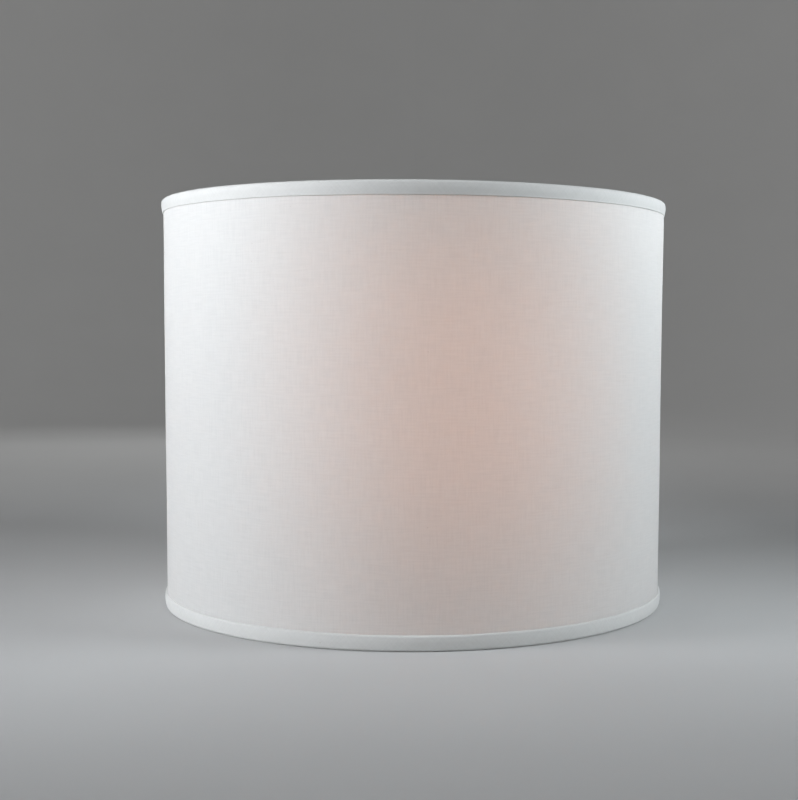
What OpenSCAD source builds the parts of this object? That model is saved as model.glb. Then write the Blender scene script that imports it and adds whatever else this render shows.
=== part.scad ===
// Drum lamp shade with a spider fitter.
// The wall is one laminated sheet, fabric outside and styrene inside, rolled into a drum and lapped
// at the back over a strip of tape. A wire ring stiffens each edge, and a folded strip of the same
// fabric wraps each ring and wall edge. Three bent spokes carry a washer that seats on a lamp's harp.
// Millimetres, +Z up, origin at the centre of the lower rim. The lap is at the back, towards +Y.

/* [Drum] */
// Outside diameter of the fabric wall
shade_d = 381; // [330:1:457]
// Overall height over both trims
shade_h = 305; // [229:1:381]

/* [Wall] */
// Thickness of the fabric cover
fabric_t = 0.35; // [0.25:0.05:0.5]
// Thickness of the styrene liner
liner_t = 0.45; // [0.35:0.05:0.6]
// Width that the wall's two ends overlap
lap_w = 12; // [10:1:20]
// How far off centre the lapped end is bent; more gives a shorter, steeper rise onto the lap
rise_shift = 40; // [20:1:70]
// Width of the double-sided tape inside the lap
tape_w = 9; // [6:1:10]
// Thickness of that tape
tape_t = 0.12; // [0.1:0.01:0.2]

/* [Trims] */
// Height of the upper trim on the outside
upper_trim_h = 9.6; // [8:0.1:12]
// Height of the lower trim on the outside
lower_trim_h = 11; // [8:0.1:13]
// Height of the trim's leg on the inside
trim_inner_h = 9; // [7.5:0.1:11]
// Thickness of the outside leg, whose edge is turned under
hem_t = 1.4; // [1.4:0.05:1.8]
// Thickness of the single layer round the ring and inside
wrap_t = 0.8; // [0.5:0.05:1.0]

/* [Rings] */
// Wire diameter of the upper and lower rings
ring_wire = 3.2; // [3:0.1:4]

/* [Spider fitter] */
// Wire diameter of the spokes, thinner than the rings
spoke_wire = 2.8; // [2.2:0.1:2.9]
// Depth of the washer's top face below the upper rim
fitter_drop = 22; // [18:1:45]
// Radius of the spokes' bends, at the wire's centreline
spoke_bend_r = 7; // [5:0.5:8]
// Straight stretch of a spoke between the ring and its first bend
spoke_lead = 11; // [9:1:20]
// Outside diameter of the washer
washer_d = 30; // [26:0.5:40]
// Thickness of the washer
washer_t = 1.6; // [1.2:0.1:2.5]
// Diameter of the washer's hole for the harp's stud
washer_bore_d = 11.1; // [10:0.1:12]

/* [Hidden] */
$fn = 256;

// Wall plies, from the fabric's face inwards
fabric_r = shade_d / 2;
fabric_in_r = fabric_r - fabric_t;
liner_in_r = fabric_in_r - liner_t;
wall_t = fabric_t + liner_t;
wall_h = shade_h - 2 * wrap_t;

// The lap: its centre faces +Y, and its outer end stands off by one wall, the tape and a little slack
lap_slack = 0.03;
lap_step = wall_t + tape_t + lap_slack;
quadrant = shade_d;

// Rings lie inside the liner, flush with the wall's edges
ring_gap = 0.05;
ring_r = liner_in_r - ring_gap - ring_wire / 2;
ring_z = wrap_t + ring_wire / 2;
top_ring_z = shade_h - ring_z;

// Trims
trim_out_r = fabric_r + hem_t;
trim_in_r = liner_in_r - wrap_t;
trim_round_r = ring_wire / 2 + wrap_t;
hem_round_r = hem_t / 2;
notch_w = spoke_wire + 0.6;
notch_depth = trim_round_r + 1;
notch_end = 0.6;

// Spider fitter
weld_flat = 0.35;
washer_top_z = shade_h - fitter_drop;
washer_z = washer_top_z - washer_t;
spoke_end_r = washer_bore_d / 2 + 3.5;
spoke_end_z = washer_z - spoke_wire / 2 + weld_flat;
spoke_fall = top_ring_z - spoke_end_z - 2 * spoke_bend_r;
spoke_run = ring_r - spoke_end_r - spoke_lead - 2 * spoke_bend_r;
front_angle = 270;
right_angle = 30;
left_angle = 150;

// Tube section that bulges out towards +Y by the height of the lap
module bulged_ring(outer_r, thickness)
    difference() {
        union() {
            circle(r = outer_r);
            translate([0, rise_shift]) circle(r = outer_r + lap_step - rise_shift);
        }
        union() {
            circle(r = outer_r - thickness);
            translate([0, rise_shift]) circle(r = outer_r - thickness + lap_step - rise_shift);
        }
    }

// Section of one ply of the rolled sheet. Its inner end stops at +X of the lap's centre, and its
// outer end bulges out from the +X side and stops at -X, over the inner end.
module ply_section(outer_r, thickness) {
    difference() {
        circle(r = outer_r);
        circle(r = outer_r - thickness);
        translate([lap_w / 2, 0]) square(quadrant);
    }
    intersection() {
        bulged_ring(outer_r, thickness);
        translate([-lap_w / 2, 0]) square(quadrant);
    }
}

// Section of the strip between the wall's two ends
module tape_section()
    intersection() {
        difference() {
            circle(r = fabric_r + tape_t);
            circle(r = fabric_r);
        }
        translate([-tape_w / 2, 0]) square([tape_w, quadrant]);
    }

module upright()
    translate([0, 0, wrap_t])
        linear_extrude(wall_h)
            children();

module fabric_cover()
    color("white")
        upright() ply_section(fabric_r, fabric_t);

module styrene_liner()
    color("ivory")
        upright() ply_section(fabric_in_r, liner_t);

module seam_tape()
    color("lightyellow")
        upright() tape_section();

// Everything that the trims close round: both plies and the gap inside the lap
module wall_space()
    upright() {
        ply_section(fabric_r, wall_t);
        intersection() {
            bulged_ring(fabric_r, 2 * wall_t);
            translate([-lap_w / 2, 0]) square([lap_w, quadrant]);
        }
    }

module wire_ring(z)
    translate([0, 0, z])
        rotate_extrude()
            translate([ring_r, 0])
                circle(d = ring_wire, $fn = 64);

module top_ring()
    color("silver")
        wire_ring(top_ring_z);

module bottom_ring()
    color("silver")
        wire_ring(ring_z);

// Section of the lower trim: a flat foot with round corners, an outside leg with a round edge,
// and a thinner inside leg, with room for the ring
module trim_section(trim_h) {
    corner_r = trim_out_r - trim_round_r;
    edge_r = trim_out_r - hem_round_r;
    mid_wall_r = fabric_r - wall_t / 2;
    difference() {
        union() {
            translate([ring_r, trim_round_r]) circle(r = trim_round_r, $fn = 64);
            translate([corner_r, trim_round_r]) circle(r = trim_round_r, $fn = 64);
            translate([ring_r, 0]) square([corner_r - ring_r, trim_round_r]);
            translate([trim_in_r, trim_round_r])
                square([mid_wall_r - trim_in_r, trim_inner_h - trim_round_r]);
            translate([mid_wall_r, trim_round_r]) square([edge_r - mid_wall_r, trim_h - trim_round_r]);
            translate([edge_r, trim_round_r]) square([hem_round_r, trim_h - trim_round_r - hem_round_r]);
            translate([edge_r, trim_h - hem_round_r]) circle(r = hem_round_r, $fn = 48);
        }
        translate([ring_r, ring_z]) circle(d = ring_wire, $fn = 64);
        translate([ring_r, wrap_t]) square([mid_wall_r - ring_r, ring_wire]);
    }
}

module trim_strip(trim_h)
    rotate_extrude()
        trim_section(trim_h);

module bottom_trim()
    color("snow")
        difference() {
            trim_strip(lower_trim_h);
            wall_space();
        }

// The upper trim's wrap is snipped open round each spoke
module top_trim()
    color("snow")
        difference() {
            translate([0, 0, shade_h])
                mirror([0, 0, 1])
                    trim_strip(upper_trim_h);
            wall_space();
            for (angle = [front_angle, right_angle, left_angle])
                rotate([0, 0, angle])
                    translate([ring_r - notch_end - notch_depth, -notch_w / 2, top_ring_z - notch_depth])
                        cube([notch_depth, notch_w, notch_depth + notch_w / 2]);
        }

module wire(length)
    cylinder(d = spoke_wire, h = length, $fn = 64);

module quarter_bend()
    rotate_extrude(angle = 90)
        translate([spoke_bend_r, 0])
            circle(d = spoke_wire, $fn = 64);

// A spoke runs in from the ring, drops, and runs on to its weld under the washer. It is drawn
// along +X and then turned to its place.
module spoke(angle)
    color("silver")
        rotate([0, 0, angle])
            difference() {
                translate([spoke_end_r, 0, spoke_end_z]) {
                    rotate([0, 90, 0])
                        wire(spoke_run);
                    translate([spoke_run, 0, spoke_bend_r])
                        rotate([90, 0, 0])
                            rotate([0, 0, -90])
                                quarter_bend();
                    translate([spoke_run + spoke_bend_r, 0, spoke_bend_r])
                        wire(spoke_fall);
                    translate([spoke_run + 2 * spoke_bend_r, 0, spoke_bend_r + spoke_fall])
                        rotate([90, 0, 0])
                            rotate([0, 0, 90])
                                quarter_bend();
                    translate([spoke_run + 2 * spoke_bend_r, 0, top_ring_z - spoke_end_z])
                        rotate([0, 90, 0])
                            wire(spoke_lead);
                }
                wire_ring(top_ring_z);
                translate([0, 0, washer_z])
                    cylinder(d = washer_d + 2, h = washer_t);
            }

module fitter_washer()
    color("silver")
        translate([0, 0, washer_z])
            rotate_extrude() {
                translate([washer_bore_d / 2, 0])
                    square([(washer_d - washer_t - washer_bore_d) / 2, washer_t]);
                translate([(washer_d - washer_t) / 2, washer_t / 2])
                    circle(d = washer_t, $fn = 48);
            }

fabric_cover();
styrene_liner();
seam_tape();
top_trim();
bottom_trim();
top_ring();
bottom_ring();
spoke(front_angle);  // spoke_front
spoke(right_angle);  // spoke_right
spoke(left_angle);  // spoke_left
fitter_washer();
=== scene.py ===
"""Looks for a white fabric drum lamp shade: a laminated wall lapped at the back, a folded trim
round each rim, and a spider fitter. Metres, in the CAD frame: +Z up, the front towards -Y, the lap
at +Y."""

import math

import bpy
import numpy as np
from mathutils import Matrix, Vector


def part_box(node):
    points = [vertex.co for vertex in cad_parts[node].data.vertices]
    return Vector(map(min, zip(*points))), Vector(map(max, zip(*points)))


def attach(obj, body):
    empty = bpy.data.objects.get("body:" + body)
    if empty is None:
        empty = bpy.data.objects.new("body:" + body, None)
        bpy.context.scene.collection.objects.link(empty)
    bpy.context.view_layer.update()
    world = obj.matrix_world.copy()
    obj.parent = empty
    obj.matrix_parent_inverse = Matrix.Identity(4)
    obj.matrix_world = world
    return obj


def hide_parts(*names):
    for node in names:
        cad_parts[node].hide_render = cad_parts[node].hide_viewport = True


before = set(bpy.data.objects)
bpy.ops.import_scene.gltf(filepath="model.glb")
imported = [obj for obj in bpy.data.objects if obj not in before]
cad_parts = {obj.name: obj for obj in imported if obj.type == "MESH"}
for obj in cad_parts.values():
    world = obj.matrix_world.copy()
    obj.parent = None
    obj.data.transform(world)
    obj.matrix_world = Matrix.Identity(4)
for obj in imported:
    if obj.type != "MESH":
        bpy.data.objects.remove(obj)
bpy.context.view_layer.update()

MM = 0.001
TURN = 2 * math.pi

# Sizes read from the CAD nodes
cover_low, cover_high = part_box("fabric_cover")
liner_low, liner_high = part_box("styrene_liner")
trim_low, trim_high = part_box("bottom_trim")
upper_low, upper_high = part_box("top_trim")
ring_low, ring_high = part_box("bottom_ring")
wall_r = -cover_low.y
fabric_t = wall_r + liner_low.y
lap_rise = cover_high.y - wall_r
shade_h = upper_high.z
trim_r = -trim_low.y
wire_r = (ring_high.z - ring_low.z) / 2
ring_r = -ring_low.y - wire_r

# Sizes that no single node's box gives
LINER_T = 0.45 * MM
LAP_W = 12 * MM
WRAP_T = 0.8 * MM  # cloth and glue that a trim adds round its ring
RISE_W = 42 * MM  # length of wall over which its outer end climbs onto the lap
liner_in_r = wall_r - fabric_t - LINER_T
wall_t = fabric_t + LINER_T
lap_half = LAP_W / 2 / wall_r
rise_angle = RISE_W / wall_r


# ---------------------------------------------------------------- surfaces


def smooth(x):
    """0 to 1 as x goes from 0 to 1, with level ends."""
    x = np.clip(x, 0, 1)
    return x * x * (3 - 2 * x)


def at(radius, angle, z):
    """Points at a radius and an angle round the drum from +Y, where a quarter turn is -X."""
    x, y = -radius * np.sin(angle), radius * np.cos(angle)
    return np.stack(np.broadcast_arrays(x, y, z), axis=-1)


def waves(u, v, seed, long_side, short_side, count=14):
    """Smooth seeded noise over u and v in metres, about -1 to 1, of wavelengths between two
    sizes."""
    rng = np.random.default_rng(seed)
    total = np.zeros(np.broadcast(u, v).shape)
    for _ in range(count):
        wavelength = rng.uniform(short_side, long_side)
        heading = rng.uniform(0, TURN)
        phase = rng.uniform(0, TURN)
        along = u * math.cos(heading) + v * math.sin(heading)
        total += np.cos(TURN * along / wavelength + phase)
    return total / math.sqrt(count / 2) / 2


def grid_mesh(name, points, uv, skip=None):
    """A mesh from a grid of points, with its flat cloth position as the UV map, in metres."""
    rows, columns = points.shape[:2]
    index = np.arange(rows * columns).reshape(rows, columns)
    quads = np.stack([index[:-1, :-1], index[:-1, 1:], index[1:, 1:], index[1:, :-1]], axis=-1)
    if skip is not None:
        quads = quads[~skip]
    quads = quads.reshape(-1, 4)
    mesh = bpy.data.meshes.new(name)
    mesh.from_pydata(points.reshape(-1, 3).tolist(), [], quads.tolist())
    flat = uv.reshape(-1, 2)[quads.reshape(-1)]
    mesh.uv_layers.new(name="cloth").data.foreach_set("uv", flat.reshape(-1))
    mesh.polygons.foreach_set("use_smooth", [True] * len(mesh.polygons))
    piece = bpy.data.objects.new(name, mesh)
    bpy.context.scene.collection.objects.link(piece)
    return piece


def dress(piece, material, node):
    """Gives a new piece its material, parents it to the root body and hides the CAD node that it
    stands for.
    """
    piece.data.materials.append(material)
    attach(piece, "root")
    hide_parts(node)
    return piece


# ---------------------------------------------------------------- the laminated wall

WALL_COLUMNS = 721
COVER_ROWS = 61
LINER_ROWS = 25
WALL_DRIFT, DRIFT_WAVES = 0.16 * MM, (0.22, 0.07)
LINER_EDGE_GAP = 0.05 * MM


def lap_lift(angle):
    """How far the wall stands off as its outer end comes round onto the lap."""
    return lap_rise * smooth((angle - (TURN - rise_angle)) / (rise_angle - lap_half))


def wall_columns():
    return np.linspace(-lap_half, TURN + lap_half, WALL_COLUMNS)


def drift(angle, z):
    """Slow unevenness of the wall, which both plies share. It fades out at the lap, where they
    cross."""
    near = np.minimum(angle + lap_half, TURN + lap_half - angle)
    fade = smooth((near - 2 * lap_half) / (3 * rise_angle))
    return WALL_DRIFT * waves(angle * wall_r, z, 11, *DRIFT_WAVES) * fade


def make_cover():
    """Outer ply: the fabric, whose visible end at the back is turned round the liner's edge."""
    angle = wall_columns()
    z = np.linspace(cover_low.z, cover_high.z, COVER_ROWS)[:, None]
    radius = wall_r + lap_lift(angle) + drift(angle, z)
    fold_r = wall_t / 2
    turn = np.linspace(0, math.pi, 9)[1:]
    fold_angle = angle[-1] + fold_r * np.sin(turn) / wall_r
    fold_radius = radius[:, -1:] - fold_r * (1 - np.cos(turn))
    radii = np.concatenate([radius, fold_radius], axis=1)
    points = at(radii, np.concatenate([angle, fold_angle]), z)
    along = np.concatenate([angle * wall_r, angle[-1] * wall_r + fold_r * turn])
    uv = np.stack(np.broadcast_arrays(along, z), axis=-1)
    cover = dress(grid_mesh("cover", points, uv), cover_fabric(), "fabric_cover")


def make_liner():
    """Inner ply: smooth sheet, whose inner end shows as an upright step inside the drum."""
    angle = wall_columns()
    z = np.linspace(liner_low.z, liner_high.z, LINER_ROWS)[:, None]
    radius = liner_in_r + lap_lift(angle) + drift(angle, z)
    edge = np.array([wall_t, 0.5 * wall_t, LINER_EDGE_GAP])
    radii = np.concatenate([radius[:, :1] + edge, radius], axis=1)
    angles = np.concatenate([np.repeat(angle[0], len(edge)), angle])
    along = angles * wall_r
    along[:len(edge)] -= edge
    uv = np.stack(np.broadcast_arrays(along, z), axis=-1)
    dress(grid_mesh("liner", at(radii, angles, z), uv), liner_plastic(), "styrene_liner")


# ---------------------------------------------------------------- folded trims

# The strip's section
CLOTH_T = 0.4 * MM
HEM_GAP = 0.05 * MM  # between the wall and the outer hem's hidden ply
HEM_END = 4.2 * MM  # height of that ply's raw edge
EDGE_R = 0.25 * MM  # bend of the outer fold
BULGE = 0.35 * MM  # how far the face's control points stand out
FACE_UPPER_PULL = 2.2 * MM
FACE_LOWER_PULL = 2.6 * MM
FOOT_END = -250  # where the wrap leaves the ring, in degrees from +r
TUCK_PULL = 1.2 * MM
TUCK_TOP = 6.9 * MM
INNER_FOLD_R = 0.38 * MM
INNER_LEG_H = 9.0 * MM
INNER_HEM_END = 6.0 * MM

# Along the strip
STRIP_COLUMNS = 1101
END_OVERLAP = 11 * MM
END_EASE = 6 * MM  # length over which the outer end climbs onto the inner one
END_LIFT = 1.3 * CLOTH_T
END_COLUMNS = 4  # more columns, which turn that end under
OUTER_STEP = 1.6 * MM  # length of the step down at the wall's outer end
INNER_STEP = 1.2 * MM  # and at its inner end
INSIDE_LOW, INSIDE_EASE = 4.8 * MM, 1.6 * MM  # where the inside leg comes free of the ring
FACE_LOW, FACE_EASE = 0.4 * MM, 2 * MM  # where the outside leg comes free of the wall's edge
EDGE_LOW, EDGE_EASE = 4.5 * MM, 4 * MM  # where its edge starts to wander up and down

# Unevenness of the cloth: how much, and its longest and shortest wavelength in metres
PUFF, PUFF_WAVES = 0.08 * MM, (0.07, 0.02)
DRAG, DRAG_WAVES = 0.03 * MM, (0.014, 0.006)
PUCKER, PUCKER_WAVES = 0.22 * MM, (0.011, 0.005)
WANDER, WANDER_WAVES = 0.16 * MM, (0.24, 0.08)

# Slits round the spokes
SLIT_GAP = 0.04 * MM
SLIT_CLEAR = 0.4 * MM
SLIT_EASE = 3.5 * MM


def arc(centre, radius, start, end, count):
    """Points of an arc in (r, z), by angles in degrees from +r towards +z."""
    a = np.radians(np.linspace(start, end, count))
    return np.stack([centre[0] + radius * np.cos(a), centre[1] + radius * np.sin(a)], axis=-1)


def bezier(points, count):
    """Points of a cubic curve in (r, z)."""
    t = np.linspace(0, 1, count)[:, None]
    a, b, c, d = (np.array(p) for p in points)
    return (1 - t) ** 3 * a + 3 * (1 - t) ** 2 * t * b + 3 * (1 - t) * t * t * c + t ** 3 * d


def trim_profile(height, shoulder_r, shoulder_turn):
    """A trim's cloth in (r, z), as on the lower rim: from the hidden raw edge inside its outer hem,
    over the fold, down the outside, under the wall and the ring, and up the inside to its inner
    fold. The outer fold is a tight edge that runs into a rounder shoulder, which starts at
    shoulder_turn degrees."""
    round_r = wire_r + WRAP_T
    hem_r = wall_r + HEM_GAP
    edge = (hem_r + EDGE_R, height - EDGE_R)
    slope = math.radians(shoulder_turn)
    step = shoulder_r - EDGE_R
    shoulder = (edge[0] - step * math.cos(slope), edge[1] - step * math.sin(slope))
    face_r, face_z = shoulder[0] + shoulder_r, shoulder[1]
    leg_r = liner_in_r - WRAP_T
    hem = bezier([(hem_r, HEM_END), (hem_r, 6 * MM), (hem_r, 7 * MM), (hem_r, edge[1])], 6)
    fold = np.concatenate([arc(edge, EDGE_R, 180, shoulder_turn, 8),
                           arc(shoulder, shoulder_r, shoulder_turn, 0, 12)[1:]])
    face = bezier([(face_r, face_z), (face_r + BULGE, face_z - FACE_UPPER_PULL),
                   (trim_r + BULGE, round_r + FACE_LOWER_PULL), (trim_r, round_r)], 15)
    corner = arc((trim_r - round_r, round_r), round_r, 0, -90, 9)
    foot = arc((ring_r, round_r), round_r, -90, FOOT_END, 17)
    heading = math.radians(FOOT_END - 90)
    lead = foot[-1] + np.array([math.cos(heading), math.sin(heading)]) * TUCK_PULL
    tuck = bezier([foot[-1], lead, (leg_r, 5.6 * MM), (leg_r, TUCK_TOP)], 8)
    fold_z = INNER_LEG_H - INNER_FOLD_R
    inner_fold = arc((leg_r + INNER_FOLD_R, fold_z), INNER_FOLD_R, 180, 0, 7)
    inner_r = leg_r + 2 * INNER_FOLD_R
    inner_hem = bezier([(inner_r, fold_z), (inner_r, 7.6 * MM), (inner_r, 7 * MM),
                        (inner_r, INNER_HEM_END)], 4)
    parts = [hem, fold[1:], face[1:], corner[1:], foot, tuck[1:], inner_fold, inner_hem[1:]]
    return np.concatenate(parts)


def lengths(profile):
    """Distance along the profile to each of its points."""
    step = np.linalg.norm(np.diff(profile, axis=0), axis=1)
    return np.concatenate([[0], np.cumsum(step)])


def outward(profile):
    """Unit normals of the profile, on the cloth's outer side."""
    tangent = np.gradient(profile, axis=0)
    tangent /= np.linalg.norm(tangent, axis=1)[:, None]
    return np.stack([-tangent[:, 1], tangent[:, 0]], axis=-1)


def strip_columns(start, slits):
    """Angles along a trim strip, with a close pair of columns at each slit, and which gaps between
    columns are slits."""
    angle = np.linspace(start, start + TURN + END_OVERLAP / wall_r, STRIP_COLUMNS)
    half_gap = SLIT_GAP / 2 / wall_r
    for slit in slits:
        angle = angle[abs(angle - slit) > SLIT_CLEAR / wall_r]
        angle = np.concatenate([angle, [slit - half_gap, slit + half_gap]])
    angle = np.sort(angle)
    middle = (angle[1:] + angle[:-1]) / 2
    is_slit = np.array([any(abs(m - slit) < half_gap for slit in slits) for m in middle])
    return angle, is_slit


def lift_outside(angle):
    """How far the outside leg stands off at the wall's lap: a slow rise, then a short step down."""
    past_end = smooth((angle - lap_half) * wall_r / OUTER_STEP)
    return np.where(angle < math.pi, lap_rise * (1 - past_end), lap_lift(angle))


def lift_inside(angle):
    """How far the inside leg moves out with the wall, up to the step at the wall's inner end."""
    return lap_lift(angle) * smooth((TURN - lap_half - angle) * wall_r / INNER_STEP)


def slit_gape(s, wire_s):
    """Where a snipped slit starts, and half the width that it opens to, by the distance s along the
    profile: it closes round the spoke's wire and spreads a little at the strip's inner edge."""
    knots = wire_s + np.array([-2.6, -1.5, 1.5, 2.9]) * MM
    widths = np.array([0, 1.5, 1.5, 0.25, 0.75]) * MM
    return knots[0], np.interp(s, [*knots, s[-1]], widths)


def make_trim(name, node, height, shoulder, start, seed, slits=()):
    """One folded strip round a rim. Its ends overlap at the back, the outer one folded under. Only
    the upper trim has slits, one round each spoke."""
    profile = trim_profile(height, *shoulder)
    normal = outward(profile)
    s = lengths(profile)
    slits = [start + (slit - start) % TURN for slit in slits]
    angle, is_slit = strip_columns(start, slits)
    u = angle * wall_r
    r, z = profile[:, :1], profile[:, 1:]
    v = s[:, None]

    outside = smooth((r - (wall_r - wall_t)) / wall_t)
    inside = smooth((liner_in_r - r) / (2 * MM)) * smooth((z - INSIDE_LOW) / INSIDE_EASE)
    lift = outside * lift_outside(angle % TURN) + inside * lift_inside(angle % TURN)
    puff = PUFF * waves(u, v * 0.6, seed, *PUFF_WAVES)
    drag = DRAG * waves(u + 0.8 * v, 0.15 * v, seed + 1, *DRAG_WAVES)
    pucker = PUCKER * np.abs(waves(u, 0.1 * v, seed + 2, *PUCKER_WAVES, 10))
    offset = (puff + drag) * outside * smooth((z - FACE_LOW) / FACE_EASE) + pucker * inside
    end = angle[-1]
    over = smooth(((angle - end) * wall_r + END_OVERLAP) / END_EASE + 1)
    offset = offset + END_LIFT * over * smooth(z / (1.2 * MM) + 0.35)
    wander = WANDER * waves(u, 0, seed + 3, *WANDER_WAVES)
    loose = outside * smooth((z - EDGE_LOW) / EDGE_EASE) + 0.8 * inside
    radius = r + normal[:, :1] * offset + lift
    rise = z + normal[:, 1:] * offset + wander * loose

    shift = np.zeros_like(radius)
    skip = np.zeros((len(s) - 1, len(angle) + END_COLUMNS - 1), bool)
    if slits:
        round_r = wire_r + WRAP_T
        from_wire = profile - (ring_r - round_r, round_r)
        wire_s = s[np.argmin(np.linalg.norm(from_wire, axis=1))]
        first, gape = slit_gape(s, wire_s)
        for slit in slits:
            away = (angle - slit) * wall_r
            ease = np.exp(-np.abs(away) / SLIT_EASE)
            shift = shift + np.sign(away) * gape[:, None] * ease / wall_r
        skip[:, :len(angle) - 1] = (s[:-1, None] > first) & is_slit

    turn = np.linspace(0, 1, END_COLUMNS + 1)[1:]
    under = END_LIFT * turn ** 2
    radius = np.concatenate([radius, radius[:, -1:] - normal[:, :1] * under], axis=1)
    rise = np.concatenate([rise, rise[:, -1:] - normal[:, 1:] * under], axis=1)
    end_angle = end + 0.5 * CLOTH_T * np.sin(turn * math.pi / 2) / wall_r + shift[:, -1:]
    angles = np.concatenate([angle + shift, end_angle], axis=1)
    points = at(radius, angles, shade_h - rise if slits else rise)
    along = np.concatenate([u, u[-1] + CLOTH_T * turn])
    uv = np.stack(np.broadcast_arrays(along, v), axis=-1)
    piece = dress(grid_mesh(name, points, uv, skip), trim_fabric(), node)


def spoke_angle(node):
    """A spoke's direction, as an angle round the drum from +Y."""
    low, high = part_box(node)
    middle = (low + high) / 2
    return math.atan2(-middle.x, middle.y) % TURN


# ---------------------------------------------------------------- materials

THREAD_PITCH = 0.55 * MM
MIX_INPUTS = (0, 6, 7)  # a Mix node's factor, and its two colours
MIX_OUTPUT = 2  # its mixed colour


class Shader:
    """A material's node tree, built with short calls."""

    def __init__(self, name):
        self.material = bpy.data.materials.new(name)
        self.material.use_nodes = True
        self.tree = self.material.node_tree
        self.tree.nodes.clear()

    def node(self, kind, inputs=None, **settings):
        made = self.tree.nodes.new(kind)
        for key, value in settings.items():
            setattr(made, key, value)
        for key, value in (inputs or {}).items():
            self.feed(made.inputs[key], value)
        return made

    def feed(self, socket, value):
        if isinstance(value, bpy.types.NodeSocket):
            self.tree.links.new(value, socket)
        else:
            socket.default_value = value

    def math(self, operation, *values):
        made = self.node("ShaderNodeMath", operation=operation)
        for socket, value in zip(made.inputs, values, strict=False):
            self.feed(socket, value)
        return made.outputs[0]

    def noise(self, vector, scale, detail, roughness):
        made = self.node("ShaderNodeTexNoise", {"Vector": vector, "Scale": scale, "Detail": detail,
                                                "Roughness": roughness})
        return made.outputs["Fac"]

    def span(self, value, low, high, to_low=0.0, to_high=1.0):
        made = self.node("ShaderNodeMapRange", {"Value": value, "From Min": low, "From Max": high,
                                                "To Min": to_low, "To Max": to_high})
        return made.outputs["Result"]

    def stretch(self, vector, scale, turn=0.0):
        made = self.node("ShaderNodeMapping", {"Vector": vector, "Scale": scale,
                                               "Rotation": (0, 0, turn)})
        return made.outputs["Vector"]

    def mix(self, factor, a, b):
        made = self.node("ShaderNodeMix", data_type="RGBA")
        for index, value in zip(MIX_INPUTS, (factor, a, b), strict=True):
            self.feed(made.inputs[index], value)
        return made.outputs[MIX_OUTPUT]

    def bump(self, height, strength, distance):
        made = self.node("ShaderNodeBump", {"Height": height, "Strength": strength,
                                            "Distance": distance})
        return made.outputs["Normal"]

    def finish(self, shader):
        self.node("ShaderNodeOutputMaterial", {"Surface": shader})
        return self.material


def woven(shader, turn):
    """Flat cloth coordinates in metres, turned where the strip is cut on the bias, with the height
    of a plain weave and how slubby its threads are."""
    cloth = shader.node("ShaderNodeUVMap", uv_map="cloth").outputs["UV"]
    flat = shader.stretch(cloth, (1, 1, 1), turn)
    parts = shader.node("ShaderNodeSeparateXYZ", {"Vector": flat}).outputs
    warp = shader.math("SINE", shader.math("MULTIPLY", parts["X"], math.pi / THREAD_PITCH))
    weft = shader.math("SINE", shader.math("MULTIPLY", parts["Y"], math.pi / (1.12 * THREAD_PITCH)))
    weave = shader.math("MULTIPLY", warp, weft)
    across = shader.noise(shader.stretch(flat, (60, 900, 1)), 1.0, 3.0, 0.6)
    upright = shader.noise(shader.stretch(flat, (900, 60, 1)), 1.0, 3.0, 0.6)
    slub = shader.span(shader.math("ADD", across, upright), 0.75, 1.3)
    return flat, shader.math("MULTIPLY_ADD", weave, 0.25, slub), slub


def cloth_material(name, colour, glow, share, uneven, turn=0.0):
    """Woven cloth. Share is how much of the light that lands on it passes through, tinted by glow.
    Uneven is how much less light its thick threads reflect, and how much less they let through."""
    shader = Shader(name)
    flat, height, slub = woven(shader, turn)
    cloud = shader.noise(flat, 9.0, 4.0, 0.55)
    thick = shader.span(slub, 0.1, 0.9)
    dark, dense = (tuple(c * (1 - less) for c in tint) + (1.0,)
                   for tint, less in zip((colour, glow), uneven, strict=True))
    tone = shader.mix(thick, colour + (1.0,), dark)
    tone = shader.mix(shader.span(cloud, 0.3, 0.75, 0.0, 0.3), tone, dark)
    speck = shader.node("ShaderNodeTexVoronoi", {"Vector": flat, "Scale": 130.0, "Randomness": 1.0})
    chosen = shader.node("ShaderNodeSeparateColor", {"Color": speck.outputs["Color"]}).outputs[0]
    tiny = shader.math("LESS_THAN", speck.outputs["Distance"], 0.055)
    fleck = shader.math("MULTIPLY", tiny, shader.math("GREATER_THAN", chosen, 0.93))
    tone = shader.mix(shader.math("MULTIPLY", fleck, 0.3), tone, (0.45, 0.41, 0.36, 1.0))
    normal = shader.bump(height, 0.3, 0.07 * MM)
    face = shader.node("ShaderNodeBsdfPrincipled", {
        "Base Color": tone,
        "Roughness": shader.span(height, 0.0, 1.2, 0.92, 0.8),
        "Specular IOR Level": 0.2,
        "Sheen Weight": 0.04,
        "Sheen Roughness": 0.4,
        "Normal": normal,
    })
    through = shader.mix(thick, glow + (1.0,), dense)
    passed = shader.node("ShaderNodeBsdfTranslucent", {"Color": through, "Normal": normal})
    both = shader.node("ShaderNodeMixShader", {0: share, 1: face.outputs[0], 2: passed.outputs[0]})
    return shader.finish(both.outputs[0])


def cover_fabric():
    """One thin layer of cloth on the liner, cut along its threads."""
    colour, glow = (0.91, 0.92, 0.92), (1.0, 0.97, 0.94)
    return cloth_material("cover_fabric", colour, glow, 0.3, (0.018, 0.145))


def trim_fabric():
    """The same cloth doubled over the wall and cut on the bias, so little light passes it."""
    colour, glow = (0.80, 0.80, 0.785), (0.8, 0.78, 0.76)
    return cloth_material("trim_fabric", colour, glow, 0.03, (0.05, 0.1), math.radians(45))


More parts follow.
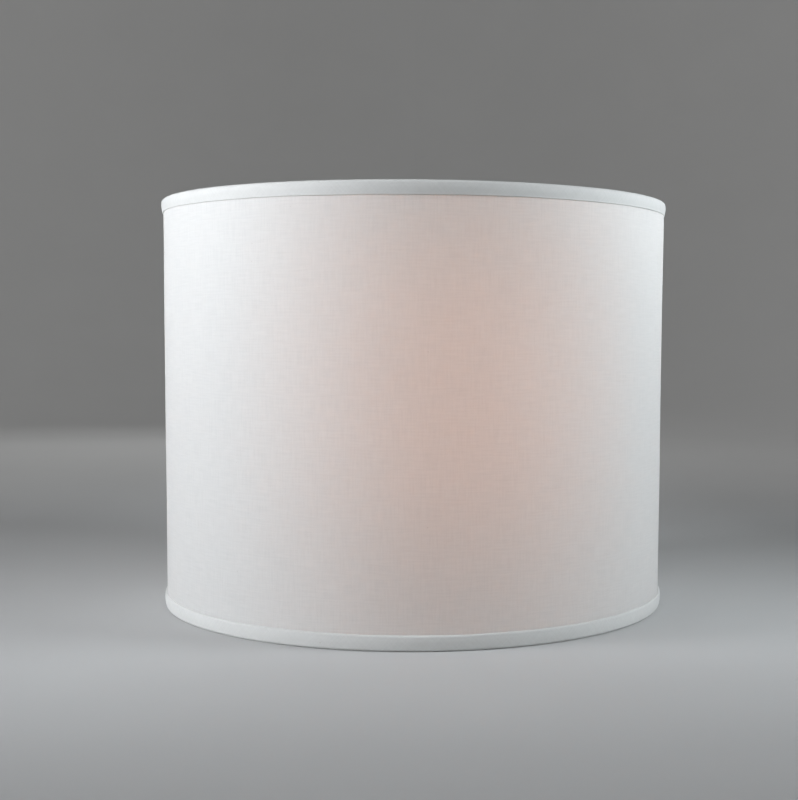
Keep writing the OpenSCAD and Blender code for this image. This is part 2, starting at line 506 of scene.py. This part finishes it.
def liner_plastic():
    """Satin white sheet: faint flow lines and handling scuffs, and light through it."""
    shader = Shader("liner_plastic")
    cloth = shader.node("ShaderNodeUVMap", uv_map="cloth").outputs["UV"]
    flow = shader.noise(shader.stretch(cloth, (6, 60, 1)), 1.0, 3.0, 0.5)
    rubbed = shader.noise(shader.stretch(cloth, (220, 18, 1), 0.5), 1.0, 5.0, 0.65)
    scuff = shader.span(rubbed, 0.62, 0.72)
    tone = shader.mix(flow, (0.90, 0.89, 0.86, 1.0), (0.94, 0.93, 0.91, 1.0))
    normal = shader.bump(shader.math("MULTIPLY_ADD", scuff, -0.4, flow), 0.15, 0.1 * MM)
    face = shader.node("ShaderNodeBsdfPrincipled", {
        "Base Color": tone,
        "Roughness": shader.span(scuff, 0.0, 1.0, 0.42, 0.62),
        "Specular IOR Level": 0.45,
        "Normal": normal,
    })
    passed = shader.node("ShaderNodeBsdfTranslucent", {"Color": (1.0, 0.97, 0.94, 1.0),
                                                       "Normal": normal})
    both = shader.node("ShaderNodeMixShader", {0: 0.7, 1: face.outputs[0], 2: passed.outputs[0]})
    return shader.finish(both.outputs[0])


def plated_metal():
    """Satin nickel: drawn along the wire, a little dulled by handling."""
    shader = Shader("satin_nickel")
    place = shader.node("ShaderNodeTexCoord").outputs["Object"]
    drawn = shader.noise(shader.stretch(place, (900, 900, 60)), 1.0, 3.0, 0.6)
    haze = shader.noise(place, 45.0, 4.0, 0.6)
    tone = shader.mix(haze, (0.60, 0.58, 0.54, 1.0), (0.74, 0.72, 0.68, 1.0))
    face = shader.node("ShaderNodeBsdfPrincipled", {
        "Base Color": tone,
        "Metallic": 1.0,
        "Roughness": shader.span(haze, 0.2, 0.8, 0.24, 0.42),
        "Normal": shader.bump(drawn, 0.12, 0.05 * MM),
    })
    return shader.finish(face.outputs[0])


def coated_wire():
    """White coated wire, with small runs in the coating."""
    shader = Shader("coated_wire")
    place = shader.node("ShaderNodeTexCoord").outputs["Object"]
    runs = shader.noise(place, 260.0, 3.0, 0.5)
    face = shader.node("ShaderNodeBsdfPrincipled", {
        "Base Color": shader.mix(runs, (0.84, 0.84, 0.82, 1.0), (0.9, 0.9, 0.88, 1.0)),
        "Roughness": shader.span(runs, 0.2, 0.8, 0.3, 0.45),
        "Normal": shader.bump(runs, 0.2, 0.05 * MM),
    })
    return shader.finish(face.outputs[0])


def adhesive_film():
    """Clear yellowish tape."""
    shader = Shader("adhesive_film")
    place = shader.node("ShaderNodeTexCoord").outputs["Object"]
    haze = shader.noise(place, 120.0, 3.0, 0.6)
    face = shader.node("ShaderNodeBsdfPrincipled", {
        "Base Color": shader.mix(haze, (0.86, 0.84, 0.76, 1.0), (0.92, 0.9, 0.84, 1.0)),
        "Roughness": shader.span(haze, 0.2, 0.8, 0.25, 0.5),
    })
    return shader.finish(face.outputs[0])


def paint_node(node, material):
    """Gives a CAD node a better material."""
    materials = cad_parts[node].data.materials
    materials.clear()
    materials.append(material)


# ---------------------------------------------------------------- studio

# Power of each light, in watts
KEY_NEAR = 0.67
KEY_SIDE = 2.9
SIDE_RIGHT = 1.75
HIGH_FRONT = 0.6
BACK_FILL = 2.0
INNER_GLOW = 0.113
WASH = 17.0

# The photo's camera, from a fit to the drum's outline
CAMERA_DISTANCE = 1.0689
CAMERA_HEIGHT = 0.2093
CAMERA_PITCH, CAMERA_YAW, CAMERA_ROLL = 4.359, 1.795, 0.266
CAMERA_LENS = 61.5
CAMERA_SHIFT = (-0.0726, 0.0432)


def make_floor():
    """A pale sweep that curves up all round, so that no horizon shows from any side."""
    flat_r, bend_r, top = 1.7, 1.8, 3.0
    inner_r = [0.0, 0.4, 1.2]
    bend = np.radians(np.linspace(-90, 0, 13))
    rim_r = np.concatenate([inner_r, flat_r + bend_r * np.cos(bend), [flat_r + bend_r]])
    rim_z = np.concatenate([np.zeros(len(inner_r)), bend_r + bend_r * np.sin(bend), [top]])
    angle = np.linspace(0, TURN, 97)
    points = at(rim_r[:, None], angle, rim_z[:, None])
    uv = np.stack(np.broadcast_arrays(angle, rim_r[:, None]), axis=-1)
    floor = grid_mesh("floor", points, uv)
    shader = Shader("pale_floor")
    place = shader.node("ShaderNodeTexCoord").outputs["Object"]
    mottle = shader.noise(place, 6.0, 5.0, 0.55)
    face = shader.node("ShaderNodeBsdfPrincipled", {
        "Base Color": shader.mix(mottle, (0.58, 0.58, 0.58, 1.0), (0.61, 0.61, 0.61, 1.0)),
        "Roughness": shader.span(mottle, 0.0, 1.0, 0.75, 0.9),
    })
    floor.data.materials.append(shader.finish(face.outputs[0]))


def softbox(name, place, target, size, power, colour, spread=180):
    """A rectangular lamp that the camera doesn't see. A spread below 180 degrees keeps its light
    closer to its own direction."""
    light = bpy.data.lights.new(name, "AREA")
    light.shape = "RECTANGLE"
    light.size, light.size_y = size
    light.energy = power
    light.color = colour
    light.spread = math.radians(spread)
    lamp = bpy.data.objects.new(name, light)
    heading = Vector(target) - Vector(place)
    turned = heading.to_track_quat("-Z", "Y").to_matrix().to_4x4()
    lamp.matrix_world = Matrix.Translation(place) @ turned
    lamp.visible_camera = False
    bpy.context.scene.collection.objects.link(lamp)


def make_lights():
    """Soft boxes at the left and right leave the middle of the front in soft shade, where a weak
    warm strip inside the drum glows through the wall. One box high in front and one behind fill in,
    and four above the drum wash the sweep all round it."""
    middle = (0, 0, 0.25)
    cool, cooler = (0.965, 1.0, 1.04), (0.93, 1.0, 1.045)
    warm = (1.0, 0.31, 0.05)
    white = (1.0, 1.0, 0.99)
    small = (0.3, 0.45)
    softbox("key_near", (-0.424, -0.424, 0.45), middle, small, KEY_NEAR, cool, 120)
    softbox("key_side", (-1.55, -0.41, 0.6), middle, (0.5, 0.7), KEY_SIDE, cool, 80)
    softbox("side_right", (0.705, -0.257, 0.5), middle, small, SIDE_RIGHT, cooler, 120)
    softbox("high_front", (0, -0.5, 1.6), (0, -0.1, 0), (0.7, 0.4), HIGH_FRONT, (1.0, 1.0, 0.97))
    softbox("back_fill", (-0.4, 1.6, 0.75), middle, (0.9, 0.9), BACK_FILL, (0.98, 1.0, 1.0))
    softbox("inner_glow", (0.015, -0.05, 0.175), (0.03, -0.19, 0.175), (0.06, 0.22), INNER_GLOW,
            warm, 130)
    for name, x, y in (("right", 1, 0), ("back", 0, 1), ("left", -1, 0), ("front", 0, -1)):
        place, target = (0.4 * x, 0.4 * y, 1.7), (3 * x, 3 * y, 1.7)
        softbox("wash_" + name, place, target, (0.9, 0.5), WASH, white)
    world = bpy.data.worlds.new("studio")
    world.use_nodes = True
    shade = world.node_tree.nodes["Background"]
    shade.inputs["Color"].default_value = (1.0, 1.0, 0.98, 1.0)
    shade.inputs["Strength"].default_value = 0.02
    bpy.context.scene.world = world


def make_camera():
    """The photo's view: from below the upper rim, looking down a little."""
    pitch, yaw, roll = (math.radians(a) for a in (CAMERA_PITCH, CAMERA_YAW, CAMERA_ROLL))
    level = math.cos(pitch)
    ahead = Vector((math.sin(yaw) * level, math.cos(yaw) * level, -math.sin(pitch)))
    right = Vector((math.cos(yaw), -math.sin(yaw), 0))
    up = right.cross(ahead)
    tilted_right = math.cos(roll) * right + math.sin(roll) * up
    tilted_up = -math.sin(roll) * right + math.cos(roll) * up
    camera = bpy.data.objects.new("camera", bpy.data.cameras.new("camera"))
    camera.data.lens = CAMERA_LENS
    camera.data.sensor_width = 36
    camera.data.shift_x, camera.data.shift_y = CAMERA_SHIFT
    turned = Matrix((tilted_right, tilted_up, -ahead)).transposed()
    camera.matrix_world = Matrix.Translation((0, -CAMERA_DISTANCE, CAMERA_HEIGHT)) @ turned.to_4x4()
    bpy.context.scene.collection.objects.link(camera)
    bpy.context.scene.camera = camera


# ---------------------------------------------------------------- the scene

SPOKES = ["spoke_front", "spoke_right", "spoke_left"]

# Each trim's shoulder, as its radius and where it starts in degrees, and where its strip starts
LOWER_SHOULDER = (2.0 * MM, 65)
UPPER_SHOULDER = (0.7 * MM, 60)
LOWER_START = -4 * MM / wall_r
UPPER_START = 3 * MM / wall_r

make_liner()
make_cover()
make_trim("trim_lower", "bottom_trim", trim_high.z, LOWER_SHOULDER, LOWER_START, 31)
make_trim("trim_upper", "top_trim", shade_h - upper_low.z, UPPER_SHOULDER, UPPER_START, 47,
          [spoke_angle(spoke) for spoke in SPOKES])
metal = plated_metal()
for name in [*SPOKES, "fitter_washer"]:
    paint_node(name, metal)
wire = coated_wire()
for name in ["top_ring", "bottom_ring"]:
    paint_node(name, wire)
paint_node("seam_tape", adhesive_film())
make_floor()
make_lights()
make_camera()
bpy.context.scene.view_settings.view_transform = "Standard"
